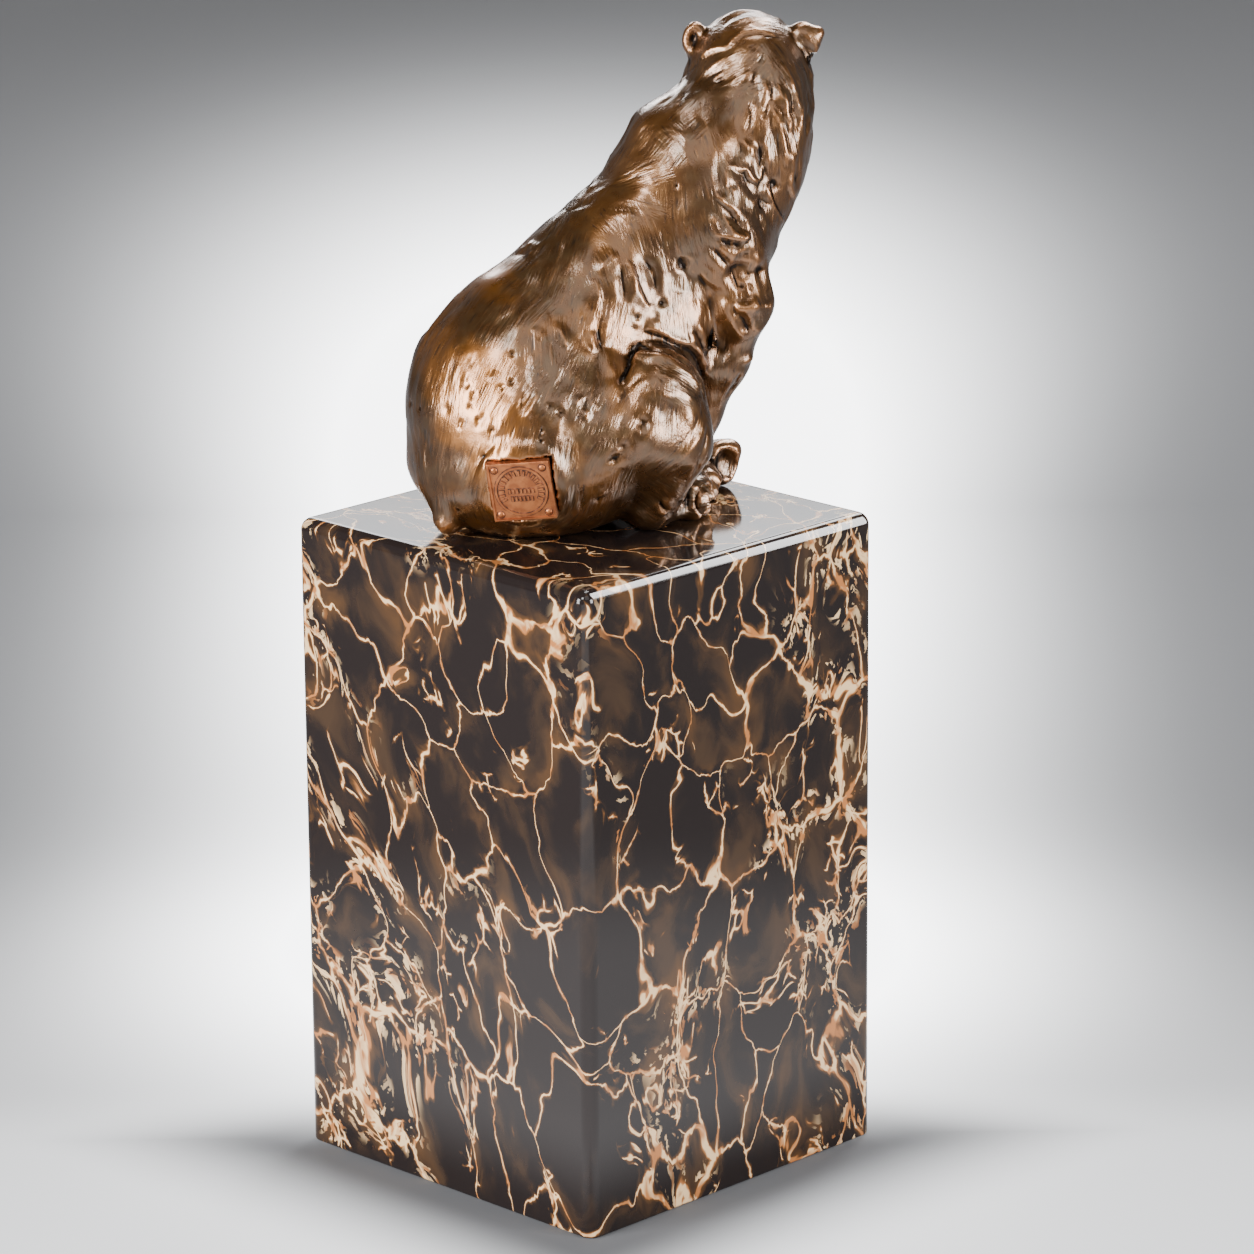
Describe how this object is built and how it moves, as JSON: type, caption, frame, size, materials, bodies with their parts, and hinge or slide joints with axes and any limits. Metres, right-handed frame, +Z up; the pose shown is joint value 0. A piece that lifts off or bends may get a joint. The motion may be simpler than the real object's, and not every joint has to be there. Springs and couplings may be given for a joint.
{
  "type": "bear sculpture on a plinth",
  "caption": "Seated bronze bear looking over its shoulder, cast in one, with a small copper plate on its rump, on a tall square plinth of polished dark veined marble.",
  "frame": {"origin": "centre of the plinth's flat underside", "axes": "+Z up along the plinth, X and Y square to its faces; the bear's chest looks towards -Y, turned 20 degrees to its own right, and its head looks over its left shoulder"},
  "size_m": [0.1, 0.1173, 0.282],
  "materials": {
    "marble": "polished black-brown marble with cream and peach veins",
    "bronze": "cast bronze with a brown wax patina, half gloss",
    "copper": "struck copper, satin"
  },
  "bodies": {
    "root": {"marble_plinth": "marble", "bronze_bear": "bronze", "copper_plate": "copper"}
  },
  "joints": []
}
